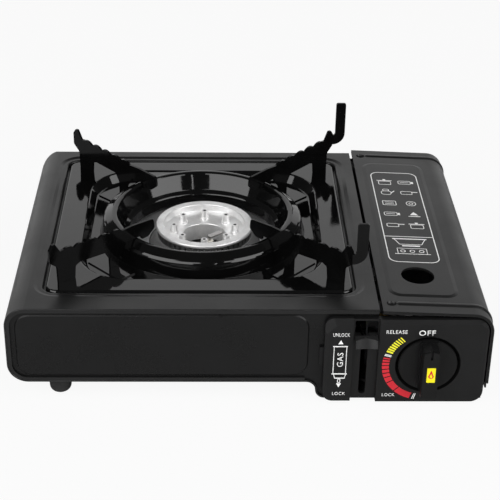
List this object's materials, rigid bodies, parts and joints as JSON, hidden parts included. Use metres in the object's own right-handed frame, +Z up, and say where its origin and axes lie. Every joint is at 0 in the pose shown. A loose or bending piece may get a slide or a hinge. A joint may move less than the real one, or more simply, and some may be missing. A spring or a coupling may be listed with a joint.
{
  "type": "butane cassette stove",
  "caption": "Portable butane cassette stove: black steel body, enamelled drip tray with serrated pan arms, round burner, control knob, locking lever and a hinged cartridge cover.",
  "frame": {"origin": "on the table, under the middle of the stove's bounding box", "axes": "+X to the right along the width, +Y to the back, +Z up; the controls face -Y"},
  "size_m": [0.341, 0.2776, 0.131],
  "materials": {
    "black_paint": "satin",
    "black_enamel": "gloss",
    "black_plastic": "matte",
    "zinc_steel": "zinc plated",
    "bright_steel": "polished",
    "cast_alloy": "as cast",
    "brass": "turned",
    "nylon": "matte",
    "rubber": "matte",
    "ceramic": "glazed",
    "wire_sleeve": "matte"
  },
  "bodies": {
    "stove": {"body_shell": "black_paint", "base_plate": "black_paint", "front_panel": "black_paint", "bay_wall": "zinc_steel", "cartridge_cradle": "zinc_steel", "heat_shield": "bright_steel", "control_panel": "black_plastic", "igniter_body": "black_plastic", "lever_pin": "zinc_steel", "fork_guide": "zinc_steel", "regulator_body": "cast_alloy", "regulator_cap": "cast_alloy", "seat_seal": "rubber", "gas_pipe": "brass", "gas_jet": "brass", "mixing_tube": "cast_alloy", "burner_base": "cast_alloy", "burner_ring": "cast_alloy", "burner_head": "cast_alloy", "burner_bracket": "zinc_steel", "electrode": "zinc_steel", "electrode_insulator": "ceramic", "ignition_wire": "wire_sleeve", "cover_brackets": "zinc_steel", "cover_pins": "zinc_steel", "cover_buffers": "rubber", "foot_front_left": "rubber", "foot_rear_left": "rubber", "foot_front_right": "rubber", "foot_rear_right": "rubber", "base_screws": "zinc_steel", "panel_screws": "zinc_steel", "regulator_screws": "zinc_steel"},
    "cover": {"cartridge_cover": "black_paint"},
    "control_knob": {"knob": "black_plastic", "valve_spindle": "brass", "ignition_cam": "nylon"},
    "plunger": {"igniter_plunger": "nylon"},
    "lever": {"lever_tab": "black_plastic", "lever_plate": "zinc_steel"},
    "fork": {"collar_fork": "zinc_steel"},
    "pan_support": {"drip_tray": "black_enamel", "arm_front_left": "black_enamel", "arm_rear_left": "black_enamel", "arm_front_right": "black_enamel", "arm_rear_right": "black_enamel"}
  },
  "joints": [
    {"name": "cover_hinge", "type": "hinge", "parent": "stove", "child": "cover", "pos_m": [0.1646, 0.00675, 0.0095], "axis": [0, 1, 0], "range_deg": [0, 90]},
    {"name": "knob_turn", "type": "hinge", "parent": "stove", "child": "control_knob", "pos_m": [0.1247, -0.12025, 0.0337], "axis": [0, -1, 0], "range_deg": [0, 160]},
    {"name": "igniter_slide", "type": "slide", "parent": "stove", "child": "plunger", "axis": [-1, 0, 0], "range_m": [0, 0.003]},
    {"name": "lever_swing", "type": "hinge", "parent": "stove", "child": "lever", "pos_m": [0.0795, -0.07325, 0.034], "axis": [1, 0, 0], "range_deg": [0, 40.4]},
    {"name": "fork_slide", "type": "slide", "parent": "stove", "child": "fork", "axis": [0, -1, 0], "range_m": [0, 0.0049]},
    {"name": "pan_support_lift", "type": "slide", "parent": "stove", "child": "pan_support", "axis": [0, 0, 1], "range_m": [0, 0.08]}
  ],
  "couplings": [
    {"joint": "igniter_slide", "follows": "knob_turn", "m_per_rad": 0.0010743},
    {"joint": "fork_slide", "follows": "lever_swing", "m_per_rad": 0.0069492}
  ]
}
